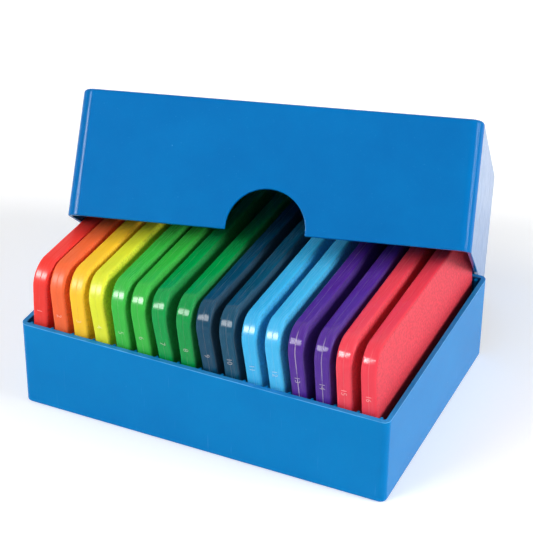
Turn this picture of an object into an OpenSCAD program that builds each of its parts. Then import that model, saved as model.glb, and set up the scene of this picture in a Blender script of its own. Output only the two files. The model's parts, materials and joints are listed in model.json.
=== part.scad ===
// Box of ink pads: an open tray with sixteen colour pads standing in it on their
// long edges, and a loose telescoping cover propped over their rear half.
// Millimetres, +Z up. X runs along the row of pads, -Y is the front.
// The origin is the middle of the tray's underside.

/* [Pads] */
// number of pads in the row
pad_count = 16; // [16:1:16]
// width of a pad, front to rear
pad_w = 115.4; // [110:0.2:120]
// height of a pad as it stands
pad_h = 66.4; // [63:0.2:67]
// thickness of a closed pad
pad_t = 7; // [6.4:0.1:7.2]
// radius of a pad's four corners
pad_corner_r = 11; // [7:0.5:16]
// rounding of the long edges of the case
pad_edge_r = 1.2; // [0.8:0.1:2.4]
// step that makes the parting line round the case
seam = 0.15; // [0.1:0.05:0.4]
// wall of the case round the felt
case_wall = 3; // [2:0.2:4.5]
// face thickness of the case
case_face = 1.2; // [0.8:0.1:1.6]
// room left round the felt
felt_clear = 0.3; // [0.2:0.05:0.6]
// height of the felt above the parting plane
felt_proud = 1.2; // [0.6:0.1:1.5]
// how far the top of each pad leans to the left, in degrees
lean_angle = [-2, 3.5, 4.5, 7.5, 6, 8, 9.5, 6.5, 9.5, 8.5, 8.5, 8, 7, 4, 4, 3.5];
// how far each pad stands to the right of the middle of its slot
slot_play = [-0.5, -0.1, -0.45, -0.15, -0.2, -0.3, -0.1, 0, 0.2, 0.25, 0.25, 0.3, 0, 0.25, -0.45, 0];

/* [Tray] */
// distance from one slot to the next
slot_pitch = 10.05; // [9.9:0.05:11]
// room at each end of the row of slots
end_gap = 2; // [1.2:0.1:3]
// the row of slots sits this far off the middle
slot_shift = -0.25; // [-0.6:0.05:0.6]
// gap between a pad's edge and the wall
pad_gap = 0.8; // [0.5:0.1:1.5]
// gap under the pads
pad_seat = 0.3; // [0.2:0.05:0.6]
// wall of the tray
tray_wall = 2; // [1.6:0.1:2.6]
// floor of the tray
tray_floor = 2; // [1.6:0.1:2.6]
// height of the tray
tray_h = 40.5; // [38:0.5:43]
// radius of the upright corners
tray_corner_r = 3; // [2.75:0.25:6]
// rounding along the foot of the walls
tray_foot_r = 1; // [0.8:0.1:2.6]
// thickness of a slot rib
rib_w = 1.2; // [1:0.1:1.8]
// how far a rib stands off the wall
rib_reach = 2.2; // [1.6:0.1:2.8]
// length of a rib
rib_h = 4; // [3:0.5:6]
// distance of the ribs below the rim
rib_drop = 0.8; // [0.5:0.1:3]

/* [Cover] */
// wall of the cover
cover_wall = 1.8; // [1.5:0.1:2]
// thickness of the cover's top
cover_top = 1.8; // [1.4:0.1:2.4]
// sliding gap between cover and tray
cover_clear = 0.6; // [0.3:0.05:0.8]
// height of the cover
cover_h = 55.8; // [53:0.2:60]
// rounding along the top edge
cover_edge_r = 1.6; // [1.2:0.1:4]
// overlap of cover and tray wall when closed
overlap = 22; // [19:0.5:23]
// radius of the thumb notch
notch_r = 17.1; // [12:0.1:20]
// height of the notch's centre over the lower edge
notch_rise = 1.5; // [0:0.1:3]
// width of a stop rib inside the cover
stop_w = 3; // [2:0.5:6]
// distance of the stop ribs from the corners
stop_inset = 18; // [12:1:30]
// the stop ribs end this far short of the tray's inner face
stop_short = 0.4; // [0.2:0.1:0.8]

/* [Cover as propped] */
// turn about the vertical, in degrees
prop_yaw = 13.3; // [12.5:0.1:13.6]
// sideways tip, in degrees
prop_roll = -1.06; // [-1.4:0.02:-0.8]
// where along its right end the cover lies on the rear rim, 0 front and 1 rear
prop_at = 0.522; // [0.51:0.002:0.53]
// distance of that point in from the tray's right end
prop_inset = 4.5; // [4.2:0.1:4.8]
// gap left over the rim
prop_gap = 0.8; // [0.5:0.1:1.2]
// gap left under the cover's lowest corner
prop_foot = 0.2; // [0.1:0.05:0.4]

/* [Hidden] */
$fn = 64;
tray_l = pad_count * slot_pitch + 2 * (end_gap + tray_wall);
tray_d = pad_w + 2 * (pad_gap + tray_wall);
slot_z = tray_h - rib_drop - rib_h / 2;
cover_l = tray_l + 2 * (cover_clear + cover_wall);
cover_d = tray_d + 2 * (cover_clear + cover_wall);
cover_corner_r = tray_corner_r + cover_clear + cover_wall;
stop_reach = cover_clear + tray_wall - stop_short;
stop_len = cover_h - cover_top - overlap;
prop_rise = cover_l * sin(-prop_roll) + prop_foot;
prop_tilt = asin((tray_h + prop_gap - prop_rise) / ((1 - prop_at) * cover_d * cos(prop_roll)));
prop_turn = [-prop_tilt, prop_roll, prop_yaw];
eps = 0.01;

// colours of the pads from left to right
pad_colour = ["#ee4640", "#f3702f", "#fbc12c", "#d3e02f", "#4db748", "#4bb649", "#119447", "#0f9a48",
    "#123f58", "#123f58", "#46b4ea", "#46b4ea", "#4a2a92", "#4a2a92", "#ea3a4e", "#ea3a4e"];

function two(i) = i < 10 ? str("0", i) : str(i);
function pad_name(i, piece) = str("pad_", two(i), "_", piece);
function slot_x(i) = (i - (pad_count + 1) / 2) * slot_pitch + slot_shift;

// a matrix product with a point, for placing the cover
function spin_x(a, p) = [p[0], p[1] * cos(a) - p[2] * sin(a), p[1] * sin(a) + p[2] * cos(a)];
function spin_y(a, p) = [p[0] * cos(a) + p[2] * sin(a), p[1], p[2] * cos(a) - p[0] * sin(a)];
function spin_z(a, p) = [p[0] * cos(a) - p[1] * sin(a), p[0] * sin(a) + p[1] * cos(a), p[2]];
function spin(t, p) = spin_z(t[2], spin_y(t[1], spin_x(t[0], p)));

prop_point = [tray_l / 2 - prop_inset, tray_d / 2, tray_h + prop_gap];
prop_pos = prop_point - spin(prop_turn, [cover_l / 2, (prop_at - 0.5) * cover_d, 0]);

// section of a rounded rim: out to r, up to h, with radius e on the upper edge and step s on the lower
module rim_section(r, h, e, s) {
    translate([0, s]) square([r, h - e - s]);
    square([r - s, h - e]);
    square([r - e, h]);
    translate([r - e, h - e]) intersection() {
        circle(r = e);
        square(e);
    }
}

// block l by d by h with corner radius r and its upper edge rounded by e all the way round
module soft_block(l, d, h, r, e, s = 0) {
    translate([r - l / 2, r - d / 2, 0]) cube([l - 2 * r, d - 2 * r, h]);
    for (k = [0 : 3]) {
        a = k % 2 == 0 ? l : d;
        b = k % 2 == 0 ? d : l;
        rotate([0, 0, 90 * k]) {
            translate([a / 2 - r, 0, 0])
                rotate([90, 0, 0])
                    linear_extrude(height = b - 2 * r, center = true) rim_section(r, h, e, s);
            translate([a / 2 - r, b / 2 - r, 0])
                rotate_extrude(angle = 90) rim_section(r, h, e, s);
        }
    }
}

// flat plate l by d by h with corner radius r
module plate(l, d, h, r) {
    translate([-l / 2, r - d / 2, 0]) cube([l, d - 2 * r, h]);
    translate([r - l / 2, -d / 2, 0]) cube([l - 2 * r, d, h]);
    for (x = [-1, 1], y = [-1, 1])
        translate([x * (l / 2 - r), y * (d / 2 - r), 0]) cylinder(r = r, h = h);
}

// rib with a rounded nose that stands off a wall in +Y
module rib(w, reach, h) {
    translate([-w / 2, -eps, 0]) cube([w, reach - w / 2 + eps, h]);
    translate([0, reach - w / 2, 0]) cylinder(d = w, h = h);
}

module tray() {
    color("#1480c4") {
        difference() {
            translate([0, 0, tray_h]) mirror([0, 0, 1])
                soft_block(tray_l, tray_d, tray_h, tray_corner_r, tray_foot_r);
            translate([0, 0, tray_floor])
                plate(tray_l - 2 * tray_wall, tray_d - 2 * tray_wall, tray_h, tray_corner_r - tray_wall);
        }
        for (k = [0 : pad_count], side = [0, 180])
            translate([slot_x(k + 0.5), (side == 0 ? -1 : 1) * (tray_d / 2 - tray_wall), slot_z - rib_h / 2])
                rotate([0, 0, side]) rib(rib_w, rib_reach, rib_h);
    }
}

module cover_shape() {
    inner_l = cover_l - 2 * cover_wall;
    inner_d = cover_d - 2 * cover_wall;
    difference() {
        soft_block(cover_l, cover_d, cover_h, cover_corner_r, cover_edge_r);
        translate([0, 0, -1])
            plate(inner_l, inner_d, cover_h - cover_top + 1, cover_corner_r - cover_wall);
        translate([0, -cover_d / 2 + cover_wall + 1, notch_rise]) rotate([90, 0, 0])
            cylinder(r = notch_r, h = cover_wall + 2);
        translate([-notch_r, -cover_d / 2 - 1, -1]) cube([2 * notch_r, cover_wall + 2, notch_rise + 1]);
    }
    for (x = [-1, 1], side = [0, 180])
        translate([x * (inner_l / 2 - stop_inset), (side == 0 ? -1 : 1) * inner_d / 2, overlap])
            rotate([0, 0, side]) rib(stop_w, stop_reach, stop_len + eps);
}

module cover() {
    color("#0d72ba") translate(prop_pos) rotate(prop_turn) cover_shape();
}

// puts a pad that lies flat, face along +Z and lower edge toward -Y, upright into slot i
module stand(i) {
    lean = lean_angle[i - 1];
    foot = tray_floor + pad_seat + pad_t / 2 * abs(sin(lean));
    translate([slot_x(i) + slot_play[i - 1] + (slot_z - foot) * tan(lean), 0, foot])
        rotate([0, -lean, 0])
            translate([0, 0, pad_h / 2]) rotate([90, 0, 90]) children();
}

// one half of a case, open on its parting plane at z = 0
module half_case(hollow) {
    difference() {
        soft_block(pad_w, pad_h, pad_t / 2, pad_corner_r, pad_edge_r, seam);
        translate([0, 0, -1])
            plate(pad_w - 2 * case_wall, pad_h - 2 * case_wall, 1 + hollow, pad_corner_r - case_wall);
    }
}

module pad_case(i) {
    color(pad_colour[i - 1]) stand(i) mirror([0, 0, 1]) half_case(pad_t / 2 - case_face);
}

module pad_lid(i) {
    color(pad_colour[i - 1]) stand(i) half_case(pad_t / 2 - case_face);
}

module pad_felt(i) {
    inset = case_wall + felt_clear;
    deep = pad_t / 2 - case_face;
    color("#3a3f46") stand(i) translate([0, 0, -deep])
        plate(pad_w - 2 * inset, pad_h - 2 * inset, deep + felt_proud, pad_corner_r - inset);
}

tray();
cover();
for (i = [1 : pad_count]) pad_case(i);
for (i = [1 : pad_count]) pad_lid(i);
for (i = [1 : pad_count]) pad_felt(i);
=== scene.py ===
import json
import math

import bmesh
import bpy
from mathutils import Euler, Matrix, Vector


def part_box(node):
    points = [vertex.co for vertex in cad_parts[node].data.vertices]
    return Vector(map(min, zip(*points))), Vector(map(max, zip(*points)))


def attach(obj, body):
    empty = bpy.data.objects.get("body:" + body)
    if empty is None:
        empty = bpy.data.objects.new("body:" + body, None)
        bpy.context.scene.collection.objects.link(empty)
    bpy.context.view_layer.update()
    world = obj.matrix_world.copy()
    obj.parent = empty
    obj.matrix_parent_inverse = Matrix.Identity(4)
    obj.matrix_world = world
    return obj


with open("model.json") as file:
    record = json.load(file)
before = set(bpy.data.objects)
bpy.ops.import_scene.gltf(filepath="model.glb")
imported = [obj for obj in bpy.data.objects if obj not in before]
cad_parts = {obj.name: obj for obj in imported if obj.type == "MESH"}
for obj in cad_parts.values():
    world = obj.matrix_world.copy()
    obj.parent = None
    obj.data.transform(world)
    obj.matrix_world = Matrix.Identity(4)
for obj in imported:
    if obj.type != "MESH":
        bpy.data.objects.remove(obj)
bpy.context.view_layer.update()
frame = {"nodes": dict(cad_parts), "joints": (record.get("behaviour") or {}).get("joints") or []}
nodes = frame["nodes"]
scene = bpy.context.scene
mm = 0.001
padCount = 16


def hexLinear(code):
    # sRGB hex as read from a paint chart, to the linear values the shader wants
    out = []
    for k in (0, 2, 4):
        c = int(code[k:k + 2], 16) / 255
        out.append(c / 12.92 if c <= 0.04045 else ((c + 0.055) / 1.055) ** 2.4)
    return (*out, 1.0)


def addNode(tree, kind, inputs=None, **settings):
    # one node, its settings, and its sockets: a socket is linked, a value is set
    node = tree.nodes.new(kind)
    for name, value in settings.items():
        setattr(node, name, value)
    for key, value in (inputs or {}).items():
        if isinstance(value, bpy.types.NodeSocket):
            tree.links.new(value, node.inputs[key])
        else:
            node.inputs[key].default_value = value
    return node


def newMaterial(name):
    mat = bpy.data.materials.new(name)
    mat.use_nodes = True
    mat.node_tree.nodes.clear()
    return mat, mat.node_tree


def newGroup(name, sockets):
    # an empty Geometry Nodes tree with its named inputs
    tree = bpy.data.node_groups.new(name, "GeometryNodeTree")
    tree.interface.new_socket("Geometry", in_out="INPUT", socket_type="NodeSocketGeometry")
    tree.interface.new_socket("Geometry", in_out="OUTPUT", socket_type="NodeSocketGeometry")
    for label, kind in sockets:
        tree.interface.new_socket(label, in_out="INPUT", socket_type="NodeSocket" + kind)
    return tree, addNode(tree, "NodeGroupInput").outputs


def setInputs(modifier, values):
    # a modifier takes its inputs by the socket's identifier
    for item in modifier.node_group.interface.items_tree:
        if item.item_type == "SOCKET" and item.in_out == "INPUT" and item.name in values:
            modifier[item.identifier] = values[item.name]


def setMaterial(obj, mat):
    obj.data.materials.clear()
    obj.data.materials.append(mat)


# finish of the solids: welded corners, eased edges, curves that shade smooth
edgeFinish = {"weld": 0.002, "flatAngle": 1.0, "ease": 0.45, "steps": 3,  # mm, degrees
              "easeAngle": 40.0, "sharpAngle": 32.0}


def curveShadingTree():
    # edges sharper than the limit stay hard, all else shades as one curve
    tree, given = newGroup("curveShading", [("Sharp angle", "Float")])
    angle = addNode(tree, "GeometryNodeInputMeshEdgeAngle")
    hard = addNode(tree, "FunctionNodeCompare", {0: angle.outputs["Unsigned Angle"], 1: given["Sharp angle"]},
                   operation="GREATER_THAN")
    faces = addNode(tree, "GeometryNodeSetShadeSmooth", {"Geometry": given["Geometry"], "Shade Smooth": True},
                    domain="FACE")
    edges = addNode(tree, "GeometryNodeSetShadeSmooth", {"Geometry": faces.outputs[0], "Selection": hard.outputs[0],
                                                         "Shade Smooth": False}, domain="EDGE")
    addNode(tree, "NodeGroupOutput", {"Geometry": edges.outputs[0]})
    return tree


curveShading = curveShadingTree()


def finishSolid(obj, ease):
    weld = obj.modifiers.new("weld", "WELD")
    weld.merge_threshold = edgeFinish["weld"] * mm
    if ease:
        flat = obj.modifiers.new("flatFaces", "DECIMATE")
        flat.decimate_type = "DISSOLVE"
        flat.angle_limit = math.radians(edgeFinish["flatAngle"])
        bevel = obj.modifiers.new("easedEdge", "BEVEL")
        bevel.width = ease * mm
        bevel.segments = edgeFinish["steps"]
        bevel.limit_method = "ANGLE"
        bevel.angle_limit = math.radians(edgeFinish["easeAngle"])
        bevel.use_clamp_overlap = True
    shade = obj.modifiers.new("curveShading", "NODES")
    shade.node_group = curveShading
    setInputs(shade, {"Sharp angle": math.radians(edgeFinish["sharpAngle"])})
    if ease:
        level = obj.modifiers.new("levelFaces", "WEIGHTED_NORMAL")  # broad faces stay flat, bends take the shading
        level.keep_sharp = True


# tray and cover, two mouldings of one plastic; the cover's deeper blue is painted shade, offsetting the stronger light
# on its upturned front
boxLook = {  # lengths in mm
    "tray": ("0086ca", "0074bb"), "cover": ("0077be", "0066ad"),  # bright and deep tone of the clouds
    "cloud": 26, "cloudDetail": 5.0, "cloudRough": 0.6,
    "rough": 0.12, "roughPlay": 0.05, "gloss": 6, "glossRange": (0.4, 0.75), "specular": 0.06, "ior": 1.49,
    "grain": 0.55, "grainStrength": 0.08, "grainDeep": 0.05,  # the real grain is finer, drawn coarser to show
    "fleckStep": 7, "fleckSize": 0.3, "fleckCore": 0.4, "fleckShare": 0.35, "fleckTone": 0.5,
    "scuffWide": 0.45, "scuffLong": 16, "scuffTurn": (0.5, 0.75, 0.3), "scuffRange": (0.72, 0.82),
    # the pale colour serves the real flecks and scuffs and the painted highlight along the rim; the rim keys shape
    # that painted highlight
    "scuffTone": 0.22, "paleMarkAndRimHighlight": "64b8f0", "rimBand": 0.5, "rimFull": 0.3,
    "rimEdge": (0.03, 0.12), "rimEdgeTone": 0.25, "rimHighlightBreak": 7, "rimHighlightBreakRange": (0.3, 0.6), "rimHighlightBreakTone": (0.4, 0.85),
    "noRim": 1.0,  # metres, a level above everything, for a part without the painted rim highlight
}


def mouldedPolypropylene(name, look):
    # injection-moulded polypropylene: an even satin blue with a faint cloudiness from the melt,
    # a fine eggshell grain, duller rubbed patches, a few pale flecks and a pale band along the rim that is a painted
    # highlight
    mat, tree = newMaterial("polypropylene" + name.capitalize())
    place = addNode(tree, "ShaderNodeTexCoord").outputs["Object"]
    cloud = addNode(tree, "ShaderNodeTexNoise", {"Vector": place, "Scale": 1 / (look["cloud"] * mm),
                                                "Detail": look["cloudDetail"], "Roughness": look["cloudRough"]})
    body = addNode(tree, "ShaderNodeMix", {0: cloud.outputs["Fac"], 6: hexLinear(look[name][1]),
                                           7: hexLinear(look[name][0])}, data_type="RGBA")
    # flecks: a dot in the middle of some cells
    cells = addNode(tree, "ShaderNodeTexVoronoi", {"Vector": place, "Scale": 1 / (look["fleckStep"] * mm)})
    size = look["fleckSize"] / look["fleckStep"]
    dot = addNode(tree, "ShaderNodeMapRange", {"Value": cells.outputs["Distance"], "From Min": size,
                                               "From Max": size * look["fleckCore"]})
    pick = addNode(tree, "ShaderNodeSeparateColor", {"Color": cells.outputs["Color"]})
    some = addNode(tree, "ShaderNodeMath", {0: pick.outputs[0], 1: look["fleckShare"]}, operation="LESS_THAN")
    fleck = addNode(tree, "ShaderNodeMath", {0: dot.outputs[0], 1: some.outputs[0]}, operation="MULTIPLY")
    # scuffs: thin faint strokes, all from one way of handling
    thin, long = [1 / (look[k] * mm) for k in ("scuffWide", "scuffLong")]
    drawn = addNode(tree, "ShaderNodeMapping", {"Vector": place, "Rotation": look["scuffTurn"],
                                                "Scale": (thin, thin, long)})
    stroke = addNode(tree, "ShaderNodeTexNoise", {"Vector": drawn.outputs[0], "Scale": 1.0, "Detail": 1.0})
    scuff = addNode(tree, "ShaderNodeMapRange", {"Value": stroke.outputs["Fac"], "From Min": look["scuffRange"][0],
                                                 "From Max": look["scuffRange"][1], "To Max": look["scuffTone"]})
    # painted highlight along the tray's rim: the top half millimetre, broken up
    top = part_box(name)[1][2] if name == "tray" else look["noRim"]
    height = addNode(tree, "ShaderNodeSeparateXYZ", {"Vector": place})
    below = addNode(tree, "ShaderNodeMath", {0: top, 1: height.outputs["Z"]}, operation="SUBTRACT")
    band = addNode(tree, "ShaderNodeMapRange", {"Value": below.outputs[0], "From Min": look["rimBand"] * mm,
                                                "From Max": look["rimFull"] * mm})
    edge = addNode(tree, "ShaderNodeMapRange", {"Value": below.outputs[0], "From Min": look["rimEdge"][0] * mm,
                                                "From Max": look["rimEdge"][1] * mm, "To Min": look["rimEdgeTone"]})
    line = addNode(tree, "ShaderNodeMath", {0: band.outputs[0], 1: edge.outputs[0]}, operation="MULTIPLY")
    # noise that breaks up the painted rim highlight
    rimHighlightBreak = addNode(tree, "ShaderNodeTexNoise", {"Vector": place, "Scale": 1 / (look["rimHighlightBreak"] * mm), "Detail": 4.0})
    rubDullAndRimHighlight = addNode(tree, "ShaderNodeMapRange", {"Value": rimHighlightBreak.outputs["Fac"], "From Min": look["rimHighlightBreakRange"][0],
                                                "From Max": look["rimHighlightBreakRange"][1], "To Min": look["rimHighlightBreakTone"][0],
                                                "To Max": look["rimHighlightBreakTone"][1]})
    rim = addNode(tree, "ShaderNodeMath", {0: line.outputs[0], 1: rubDullAndRimHighlight.outputs[0]}, operation="MULTIPLY")
    mark = addNode(tree, "ShaderNodeMath", {0: fleck.outputs[0], 1: look["fleckTone"], 2: scuff.outputs[0]},
                   operation="MULTIPLY_ADD")
    # pale: the real flecks and scuffs plus the painted rim highlight
    pale = addNode(tree, "ShaderNodeMath", {0: mark.outputs[0], 1: rim.outputs[0]}, operation="ADD", use_clamp=True)
    colour = addNode(tree, "ShaderNodeMix", {0: pale.outputs[0], 6: body.outputs[2], 7: hexLinear(look["paleMarkAndRimHighlight"])},
                     data_type="RGBA")
    patch = addNode(tree, "ShaderNodeTexNoise", {"Vector": place, "Scale": 1 / (look["gloss"] * mm), "Detail": 5.0})
    rough = addNode(tree, "ShaderNodeMapRange", {"Value": patch.outputs["Fac"], "From Min": look["glossRange"][0],
                                                 "From Max": look["glossRange"][1], "To Min": look["rough"],
                                                 "To Max": look["rough"] + look["roughPlay"]})
    grain = addNode(tree, "ShaderNodeTexNoise", {"Vector": place, "Scale": 1 / (look["grain"] * mm), "Detail": 2.0})
    bump = addNode(tree, "ShaderNodeBump", {"Height": grain.outputs["Fac"], "Strength": look["grainStrength"],
                                            "Distance": look["grainDeep"] * mm})
    skin = addNode(tree, "ShaderNodeBsdfPrincipled", {"Base Color": colour.outputs[2], "Roughness": rough.outputs[0],
                                                      "Normal": bump.outputs[0], "IOR": look["ior"],
                                                      "Specular IOR Level": look["specular"]})
    addNode(tree, "ShaderNodeOutputMaterial", {"Surface": skin.outputs[0]})
    return mat


for name in ("tray", "cover"):
    setMaterial(nodes[name], mouldedPolypropylene(name, boxLook))
    finishSolid(nodes[name], edgeFinish["ease"])
print("tray and cover finished")

# pads from left to right, lengths in mm
padLook = {
    "colours": ["f23a32", "f66834", "ffc82c", "e2e834", "38ba44", "34b842", "009c48", "009746",
                "064562", "0a4d6a", "3ab4ea", "44baee", "522894", "522894", "f24556", "f04052"],
    "edgeRough": [0.3, 0.46, 0.44, 0.38, 0.26, 0.18, 0.14, 0.11,  # some are dulled by handling
                  0.09, 0.09, 0.26, 0.26, 0.08, 0.08, 0.12, 0.12],
    "faceRough": 0.56, "specular": 0.2, "ior": 1.5,
    "face": 3.2, "faceBlend": (0.3, 0.25), "faceGrain": (0.82, 1.12), "facePale": 0.015,
    # face tone per pad: partly the eroded faces' deeper tone, partly painted shade for the faces seen in the shaded
    # gaps between pads
    "faceToneAndGapShade": [1, 1, 1, 1, 0.9, 0.9, 0.8, 0.8, 0.7, 0.7, 0.85, 0.85, 0.75, 0.75, 0.85, 0.8],
    "grain": 1.1, "grainRange": (0.35, 0.68), "grainStrength": 0.6, "grainDeep": 0.16,  # coarser than real, to show
    "rub": [0.05, 0.05, 0.05, 0.05, 0.06, 0.06, 0.05, 0.04, 0.06, 0.07, 0.08, 0.09, 0.07, 0.07, 0.05, 0.05],
    "streak": 0.3, "streakLong": 9, "streakRange": (0.54, 0.78), "rubDull": 1.2,
    "seam": 0.22, "seamCore": 0.6, "seamBreak": 5, "breakRange": (0.42, 0.55), "seamLeast": 0.25, "seamDull": 0.4,
    "seamTone": [0.02, 0.02, 0.02, 0.02, 0.04, 0.04, 0.03, 0.03, 0.04, 0.04, 0.04, 0.04, 0.42, 0.3, 0.04, 0.05],
    "seamEnd": 30, "seamFade": 3, "seamLeft": 0.1,
    "proud": (0.02, 0.08), "numberTone": 0.3, "pale": "fff4f0",
    "glowThrough": 0.15, "glowDepth": 2.2, "glowTint": (1.0, 0.5, 0.3),
}


def padPlace(i):
    # middle and width of a pad from its two halves, and the way it slides
    lows, highs = zip(*[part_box("pad_%02d_%s" % (i, part)) for part in ("case", "lid")])
    low = Vector([min(v[k] for v in lows) for k in range(3)])
    high = Vector([max(v[k] for v in highs) for k in range(3)])
    axis = Vector([j["axis"] for j in frame["joints"] if j["child"] == "pad_%02d" % i][0])
    return (low + high) / 2, high.y - low.y, axis


def mouldedCase(i, name, through):
    # high-impact polystyrene case: glossy rounded edges with fine upright rub marks,
    # matt spark-eroded faces with a fine grain, a pale dull line at the parting;
    # light goes a little way into the walls, and not through thin raised marks
    code, faceToneAndGapShade, seamTone, rubTone, edgeRough = [
        padLook[key][i - 1] for key in ("colours", "faceToneAndGapShade", "seamTone", "rub", "edgeRough")]
    mat, tree = newMaterial("%s%02d" % (name, i))
    middle, wide, axis = padPlace(i)
    turn = Euler((0, math.atan2(-axis.x, axis.z), 0))
    shift = -(turn.to_matrix() @ middle)
    place = addNode(tree, "ShaderNodeTexCoord").outputs["Object"]
    local = addNode(tree, "ShaderNodeMapping", {"Vector": place, "Location": shift, "Rotation": turn})
    parts = addNode(tree, "ShaderNodeSeparateXYZ", {"Vector": local.outputs[0]})
    across = addNode(tree, "ShaderNodeMath", {0: parts.outputs["X"]}, operation="ABSOLUTE")
    inside, beyond = padLook["faceBlend"]
    face = addNode(tree, "ShaderNodeMapRange", {"Value": across.outputs[0],
                                                "From Min": (padLook["face"] - inside) * mm,
                                                "From Max": (padLook["face"] + beyond) * mm},
                   interpolation_type="SMOOTHSTEP")
    seam = addNode(tree, "ShaderNodeMapRange", {"Value": across.outputs[0], "From Min": padLook["seam"] * mm,
                                                "From Max": padLook["seam"] * padLook["seamCore"] * mm})
    # what stands proud of the front edge is the raised number
    proud = addNode(tree, "ShaderNodeMapRange", {"Value": parts.outputs["Y"],
                                                 "From Min": -wide / 2 - padLook["proud"][0] * mm,
                                                 "From Max": -wide / 2 - padLook["proud"][1] * mm,
                                                 "To Max": padLook["numberTone"]})
    # rub marks run up the edges, broken along their length
    thin, long = [1 / (padLook[key] * mm) for key in ("streak", "streakLong")]
    stretch = addNode(tree, "ShaderNodeMapping", {"Vector": local.outputs[0], "Scale": (thin, long, long)})
    streak = addNode(tree, "ShaderNodeTexNoise", {"Vector": stretch.outputs[0], "Scale": 1.0, "Detail": 3.0})
    rub = addNode(tree, "ShaderNodeMapRange", {"Value": streak.outputs["Fac"],
                                               "From Min": padLook["streakRange"][0],
                                               "From Max": padLook["streakRange"][1], "To Max": rubTone})
    # the line at the parting comes and goes
    broken = addNode(tree, "ShaderNodeTexNoise", {"Vector": local.outputs[0],
                                                  "Scale": 1 / (padLook["seamBreak"] * mm), "Detail": 3.0})
    flash = addNode(tree, "ShaderNodeMapRange", {"Value": broken.outputs["Fac"],
                                                 "From Min": padLook["breakRange"][0],
                                                 "From Max": padLook["breakRange"][1],
                                                 "To Min": padLook["seamLeast"] * seamTone, "To Max": seamTone})
    # handling has worn the line away along the top
    upright = addNode(tree, "ShaderNodeMapRange", {"Value": parts.outputs["Z"],
                                                   "From Min": padLook["seamEnd"] * mm,
                                                   "From Max": (padLook["seamEnd"] + padLook["seamFade"]) * mm,
                                                   "To Min": 1.0, "To Max": padLook["seamLeft"]})
    left = addNode(tree, "ShaderNodeMath", {0: flash.outputs[0], 1: upright.outputs[0]}, operation="MULTIPLY")
    line = addNode(tree, "ShaderNodeMath", {0: seam.outputs[0], 1: left.outputs[0], 2: rub.outputs[0]},
                   operation="MULTIPLY_ADD")
    pale = addNode(tree, "ShaderNodeMath", {0: line.outputs[0], 1: proud.outputs[0]}, operation="MAXIMUM")
    grain = addNode(tree, "ShaderNodeTexNoise", {"Vector": local.outputs[0], "Scale": 1 / (padLook["grain"] * mm),
                                                 "Detail": 2.0})
    speck = addNode(tree, "ShaderNodeMapRange", {"Value": grain.outputs["Fac"], "From Min": padLook["grainRange"][0],
                                                 "From Max": padLook["grainRange"][1]})
    lift = addNode(tree, "ShaderNodeMix", {0: face.outputs[0], 2: pale.outputs[0], 3: padLook["facePale"]},
                   data_type="FLOAT")
    # eroded faces are a tone deeper, their pits deeper still; the per-pad face tone is partly the faces' own deeper
    # tone, partly painted shade for the faces seen in the gaps between pads
    pit, peak = [tuple(faceToneAndGapShade * k * c for c in hexLinear(code)[:3]) + (1,) for k in padLook["faceGrain"]]
    deep = addNode(tree, "ShaderNodeMix", {0: speck.outputs[0], 6: pit, 7: peak}, data_type="RGBA")
    tone = addNode(tree, "ShaderNodeMix", {0: face.outputs[0], 6: hexLinear(code), 7: deep.outputs[2]},
                   data_type="RGBA")
    colour = addNode(tree, "ShaderNodeMix", {0: lift.outputs[0], 6: tone.outputs[2], 7: hexLinear(padLook["pale"])},
                     data_type="RGBA")
    # gloss on the edges, dull on the faces, duller still in the parting
    rough = addNode(tree, "ShaderNodeMapRange", {"Value": face.outputs[0], "To Min": edgeRough,
                                                 "To Max": padLook["faceRough"]})
    dull = addNode(tree, "ShaderNodeMath", {0: seam.outputs[0], 1: padLook["seamDull"], 2: rough.outputs[0]},
                   operation="MULTIPLY_ADD")
    rubDullAndRimHighlight = addNode(tree, "ShaderNodeMath", {0: rub.outputs[0], 1: padLook["rubDull"], 2: dull.outputs[0]},
                   operation="MULTIPLY_ADD")
    depth = addNode(tree, "ShaderNodeMath", {0: grain.outputs["Fac"], 1: face.outputs[0]}, operation="MULTIPLY")
    bump = addNode(tree, "ShaderNodeBump", {"Height": depth.outputs[0], "Strength": padLook["grainStrength"],
                                            "Distance": padLook["grainDeep"] * mm})
    skin = addNode(tree, "ShaderNodeBsdfPrincipled", {"Base Color": colour.outputs[2], "Roughness": rubDullAndRimHighlight.outputs[0],
                                                      "Normal": bump.outputs[0], "IOR": padLook["ior"],
                                                      "Specular IOR Level": padLook["specular"],
                                                      "Subsurface Weight": through,
                                                      "Subsurface Radius": padLook["glowTint"],
                                                      "Subsurface Scale": padLook["glowDepth"] * mm})
    addNode(tree, "ShaderNodeOutputMaterial", {"Surface": skin.outputs[0]})
    return mat


feltLook = {"nap": 0.6, "dark": "22262b", "light": "474d55", "rough": 0.95, "specular": 0.1,
            "napStrength": 0.6, "napDeep": 0.2}  # lengths in mm


def inkedFelt():
    # needled wool felt soaked with ink: dark, dull, with a short fuzzy nap
    mat, tree = newMaterial("inkedWoolFelt")
    place = addNode(tree, "ShaderNodeTexCoord").outputs["Object"]
    nap = addNode(tree, "ShaderNodeTexNoise", {"Vector": place, "Scale": 1 / (feltLook["nap"] * mm), "Detail": 5.0})
    colour = addNode(tree, "ShaderNodeMix", {0: nap.outputs["Fac"], 6: hexLinear(feltLook["dark"]),
                                             7: hexLinear(feltLook["light"])}, data_type="RGBA")
    bump = addNode(tree, "ShaderNodeBump", {"Height": nap.outputs["Fac"], "Strength": feltLook["napStrength"],
                                            "Distance": feltLook["napDeep"] * mm})
    cloth = addNode(tree, "ShaderNodeBsdfPrincipled", {"Base Color": colour.outputs[2], "Roughness": feltLook["rough"],
                                                       "Normal": bump.outputs[0],
                                                       "Specular IOR Level": feltLook["specular"]})
    addNode(tree, "ShaderNodeOutputMaterial", {"Surface": cloth.outputs[0]})
    return mat


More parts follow.
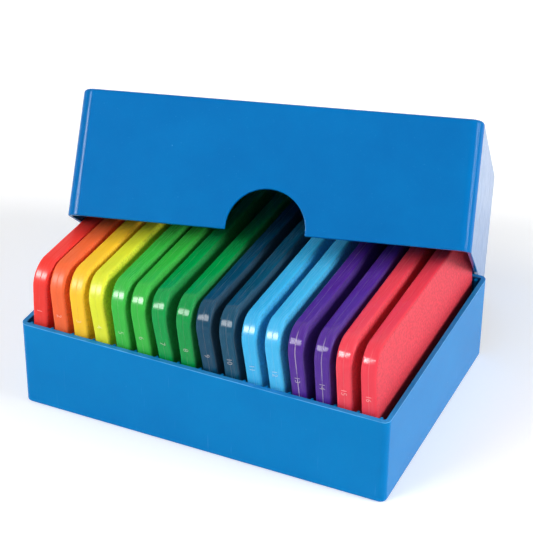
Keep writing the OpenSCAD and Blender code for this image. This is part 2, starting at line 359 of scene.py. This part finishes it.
felt = inkedFelt()
caseMaterial = {}
markMaterial = {}
for i in range(1, padCount + 1):
    caseMaterial[i] = mouldedCase(i, "polystyreneCase", padLook["glowThrough"])
    markMaterial[i] = mouldedCase(i, "polystyreneMark", 0.0)
    for part in ("case", "lid"):
        obj = nodes["pad_%02d_%s" % (i, part)]
        setMaterial(obj, caseMaterial[i])
        finishSolid(obj, 0)
    setMaterial(nodes["pad_%02d_felt" % i], felt)
    finishSolid(nodes["pad_%02d_felt" % i], 0)
print("pads finished")

# the flash left in the parting of a case, a bead that follows its outline, lengths in mm
flashLook = {"tall": 66.4, "corner": 11.0, "radius": 0.2, "sunk": 0.17, "cornerSteps": 12, "sides": 8}
doubles = 0.001  # mm, corners nearer than this are one


def flashBeadTree():
    tree, given = newGroup("flashBead", [("Length", "Float"), ("Height", "Float"), ("Corner radius", "Float"),
                                         ("Corner steps", "Int"), ("Bead radius", "Float"), ("Bead sides", "Int"),
                                         ("Place", "Vector"), ("Turn", "Vector"), ("Material", "Material")])
    outline = addNode(tree, "GeometryNodeCurvePrimitiveQuadrilateral", {"Width": given["Length"],
                                                                        "Height": given["Height"]})
    path = addNode(tree, "GeometryNodeFilletCurve", {"Curve": outline.outputs[0], "Radius": given["Corner radius"],
                                                     "Count": given["Corner steps"]}, mode="POLY")
    ring = addNode(tree, "GeometryNodeCurvePrimitiveCircle", {"Resolution": given["Bead sides"],
                                                              "Radius": given["Bead radius"]})
    bead = addNode(tree, "GeometryNodeCurveToMesh", {"Curve": path.outputs[0], "Profile Curve": ring.outputs[0]})
    turn = addNode(tree, "FunctionNodeEulerToRotation", {0: given["Turn"]})
    placed = addNode(tree, "GeometryNodeTransform", {"Geometry": bead.outputs[0], "Translation": given["Place"],
                                                     "Rotation": turn.outputs[0]})
    smooth = addNode(tree, "GeometryNodeSetShadeSmooth", {"Geometry": placed.outputs[0], "Shade Smooth": True})
    solid = addNode(tree, "GeometryNodeRealizeInstances", {"Geometry": smooth.outputs[0]})
    dressed = addNode(tree, "GeometryNodeSetMaterial", {"Geometry": solid.outputs[0], "Material": given["Material"]})
    addNode(tree, "NodeGroupOutput", {"Geometry": dressed.outputs[0]})
    return tree


def plainPiece(name, source):
    # the evaluated shape as a plain mesh of its own, doubles merged and faces outward
    mesh = bpy.data.meshes.new_from_object(source.evaluated_get(bpy.context.evaluated_depsgraph_get()))
    bpy.data.objects.remove(source)
    shape = bmesh.new()
    shape.from_mesh(mesh)
    bmesh.ops.remove_doubles(shape, verts=shape.verts, dist=doubles * mm)
    bmesh.ops.recalc_face_normals(shape, faces=shape.faces)
    shape.to_mesh(mesh)
    shape.free()
    piece = bpy.data.objects.new(name, mesh)
    scene.collection.objects.link(piece)
    return piece


def padFrame(i):
    # a pad's middle and width, and the ways across and up it as it leans
    middle, wide, up = padPlace(i)
    return middle, wide, Vector((up.z, 0, -up.x)), up


beadTree = flashBeadTree()
for i in range(1, padCount + 1):
    middle, wide, across, up = padFrame(i)
    deepest = 2 * flashLook["sunk"] * mm
    turned = Matrix((Vector((0, 1, 0)), up, across)).transposed().to_euler()
    carrier = bpy.data.objects.new("carrier", bpy.data.meshes.new("carrier"))
    scene.collection.objects.link(carrier)
    bead = carrier.modifiers.new("flashBead", "NODES")
    bead.node_group = beadTree
    setInputs(bead, {"Length": wide - deepest, "Height": flashLook["tall"] * mm - deepest,
                     "Corner radius": (flashLook["corner"] - flashLook["sunk"]) * mm,
                     "Corner steps": flashLook["cornerSteps"], "Bead radius": flashLook["radius"] * mm,
                     "Bead sides": flashLook["sides"], "Place": middle, "Turn": Vector(turned),
                     "Material": markMaterial[i]})
    piece = plainPiece("pad_%02d_flash" % i, carrier)
    setMaterial(piece, markMaterial[i])
    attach(piece, "pad_%02d" % i)
print("flash beads laid")

# a small number raised on each front edge, turned on its side, lengths in mm
numberLook = {"high": 2.3, "proud": 0.16, "sunk": 0.1, "level": 47.5, "spacing": 0.95, "curveSteps": 3}


def raisedNumber(i):
    middle, wide, across, up = padFrame(i)
    curve = bpy.data.curves.new("number", "FONT")
    curve.body = str(i)
    curve.space_character = numberLook["spacing"]
    curve.resolution_u = numberLook["curveSteps"]
    text = bpy.data.objects.new("number", curve)
    scene.collection.objects.link(text)
    bpy.context.view_layer.update()
    size = text.dimensions.y
    curve.extrude = (numberLook["proud"] + numberLook["sunk"]) / 2 * mm * size / (numberLook["high"] * mm)
    piece = plainPiece("pad_%02d_number" % i, text)
    mesh = piece.data
    mesh.shade_flat()
    lows = [min(v.co[k] for v in mesh.vertices) for k in range(3)]
    highs = [max(v.co[k] for v in mesh.vertices) for k in range(3)]
    centre = Vector([(lows[k] + highs[k]) / 2 for k in range(3)])
    rise = (numberLook["level"] * mm - middle.z) / up.z
    front = middle + up * rise + Vector((0, -wide / 2 - (numberLook["proud"] - numberLook["sunk"]) / 2 * mm, 0))
    turned = Matrix((-up, across, Vector((0, -1, 0)))).transposed().to_4x4()
    scaled = Matrix.Scale(numberLook["high"] * mm / (highs[1] - lows[1]), 4)
    mesh.transform(Matrix.Translation(front) @ turned @ scaled @ Matrix.Translation(-centre))
    return piece


for i in range(1, padCount + 1):
    piece = raisedNumber(i)
    setMaterial(piece, markMaterial[i])
    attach(piece, "pad_%02d" % i)
print("numbers raised")


def seenLevel(tree, seen, lighting):
    # one strength where the eye, gloss or glass meets it, another where it lights the object
    ray = addNode(tree, "ShaderNodeLightPath").outputs
    direct = addNode(tree, "ShaderNodeMath", {0: ray["Is Camera Ray"], 1: ray["Is Glossy Ray"]},
                     operation="MAXIMUM")
    share = addNode(tree, "ShaderNodeMath", {0: direct.outputs[0], 1: ray["Is Transmission Ray"]},
                    operation="MAXIMUM")
    return addNode(tree, "ShaderNodeMix", {0: share.outputs[0], 2: lighting, 3: seen}, data_type="FLOAT").outputs[0]


# floor of matt white paper, lit a little from below as on a light table, white further off
stage = {"paper": ("f3f3f3", "f5f5f5"), "grain": 2, "drop": 0.2,  # mm
         "glow": 0.13, "seen": 0.27, "white": 1.0, "near": 0.25, "far": 1.1, "size": 8.0}  # metres
floorMat, tree = newMaterial("mattPaper")
place = addNode(tree, "ShaderNodeTexCoord").outputs["Object"]
grain = addNode(tree, "ShaderNodeTexNoise", {"Vector": place, "Scale": 1 / (stage["grain"] * mm), "Detail": 2.0})
tint = addNode(tree, "ShaderNodeMix", {0: grain.outputs["Fac"], 6: hexLinear(stage["paper"][0]),
                                       7: hexLinear(stage["paper"][1])}, data_type="RGBA")
paper = addNode(tree, "ShaderNodeBsdfDiffuse", {"Color": tint.outputs[2]})
away = addNode(tree, "ShaderNodeVectorMath", {0: place}, operation="LENGTH")
fade = addNode(tree, "ShaderNodeMapRange", {"Value": away.outputs["Value"], "From Min": stage["near"],
                                            "From Max": stage["far"], "To Min": stage["seen"],
                                            "To Max": stage["white"]})
glow = addNode(tree, "ShaderNodeEmission", {"Color": (1, 1, 1, 1),
                                            "Strength": seenLevel(tree, fade.outputs[0], stage["glow"])})
both = addNode(tree, "ShaderNodeAddShader", {0: paper.outputs[0], 1: glow.outputs[0]})
addNode(tree, "ShaderNodeOutputMaterial", {"Surface": both.outputs[0]})
bpy.ops.mesh.primitive_plane_add(size=stage["size"], location=(0, 0, -stage["drop"] * mm))
floor = bpy.context.object
floor.name = "floor"
setMaterial(floor, floorMat)

room = {"level": 0.2, "seen": 1.0}  # white to the eye and in gloss, dim as a light
scene.world = bpy.data.worlds.new("paleRoom")
scene.world.use_nodes = True
tree = scene.world.node_tree
tree.nodes.clear()
sky = addNode(tree, "ShaderNodeBackground", {"Color": (1, 1, 1, 1),
                                             "Strength": seenLevel(tree, room["seen"], room["level"])})
addNode(tree, "ShaderNodeOutputWorld", {"Surface": sky.outputs[0]})

lamps = [  # name, way off the box, width, height, level on a face turned to it, lights, seen in gloss
    ("keySoftbox", (-0.48, -0.699, 0.53), 1.05, 0.9, 0.48, True, True),
    ("sideSoftbox", (0.90, 0.12, 0.42), 1.2, 1.0, 0.86, True, True),
    ("topSoftbox", (-0.12, -0.6, 0.79), 1.4, 1.7, 0.15, True, False),
    ("highFill", (-0.68, -0.1, 0.72), 1.4, 1.2, 0.15, True, False),
    ("keyGlint", (-0.48, -0.699, 0.53), 1.05, 0.9, 2.4, False, True),  # the highlights alone
]
lampFar = 2.6  # metres
lampAim = 0.05
for name, way, wide, high, level, lights, inGloss in lamps:
    data = bpy.data.lights.new(name, "AREA")
    data.shape = "RECTANGLE"
    data.size = wide
    data.size_y = high
    data.energy = level * (math.pi * lampFar) ** 2  # watts for that level at that distance
    lamp = bpy.data.objects.new(name, data)
    lamp.visible_diffuse = lights
    lamp.visible_glossy = inGloss
    scene.collection.objects.link(lamp)
    lamp.location = Vector(way).normalized() * lampFar + Vector((0, 0, lampAim))
    lamp.rotation_euler = Vector(way).to_track_quat("Z", "Y").to_euler()

view = {"place": (0.2771, -0.6060, 0.4695), "turn": (58.236, -0.481, 24.594), "lens": 122.13,
        "sensor": 36}
camData = bpy.data.cameras.new("photoCamera")
camData.lens = view["lens"]
camData.sensor_width = view["sensor"]
camera = bpy.data.objects.new("photoCamera", camData)
scene.collection.objects.link(camera)
camera.location = view["place"]
camera.rotation_euler = [math.radians(a) for a in view["turn"]]
scene.camera = camera
scene.view_settings.view_transform = "Standard"
print("stage ready")
